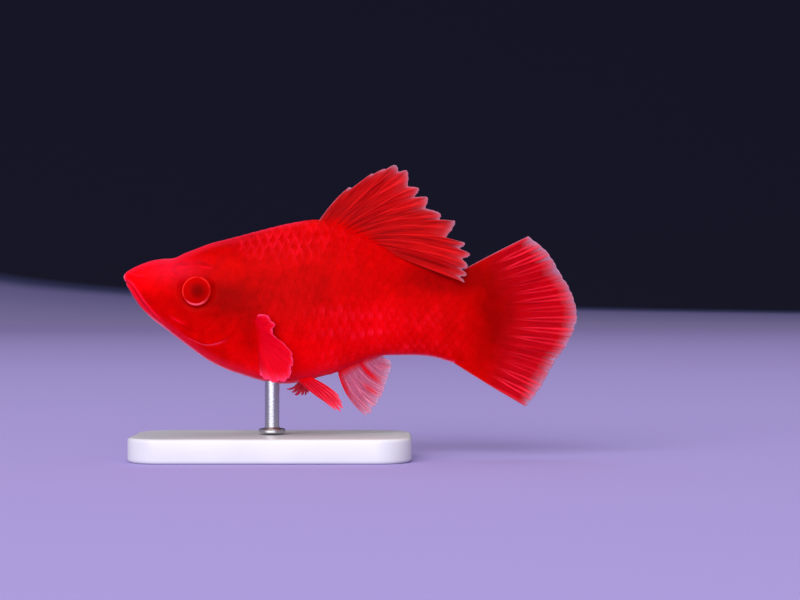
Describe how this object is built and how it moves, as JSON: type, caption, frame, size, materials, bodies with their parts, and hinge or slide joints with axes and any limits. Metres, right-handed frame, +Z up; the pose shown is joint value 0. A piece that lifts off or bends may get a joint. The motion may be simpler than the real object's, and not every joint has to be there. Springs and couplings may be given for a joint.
{
  "type": "swordtail fish",
  "caption": "Red high-finned female swordtail, a small live-bearing aquarium fish, life-size and level as it swims, on a short rod over a plain flat base.",
  "frame": {"origin": "centre of the stand base's underside, straight below the rod", "axes": "+X from the fish's head towards its tail, -Y towards the fish's left side, +Z up"},
  "size_m": [0.0753, 0.024, 0.0486],
  "materials": {
    "skin": "wet scaled skin, satin",
    "fin": "thin translucent fin membrane",
    "eye": "polished, clear over deep red",
    "stand_base": "satin white",
    "stand_rod": "fine brushed"
  },
  "bodies": {
    "root": {"head": "skin", "lower_jaw": "skin", "gill_cover_left": "skin", "gill_cover_right": "skin", "eye_left": "eye", "eye_right": "eye", "trunk": "skin", "tail_stalk": "skin", "tail_fin": "fin", "dorsal_fin": "fin", "anal_fin": "fin", "pectoral_fin_left": "fin", "pectoral_fin_right": "fin", "pelvic_fin_left": "fin", "pelvic_fin_right": "fin", "stand_base": "stand_base", "stand_rod": "stand_rod"}
  },
  "joints": []
}
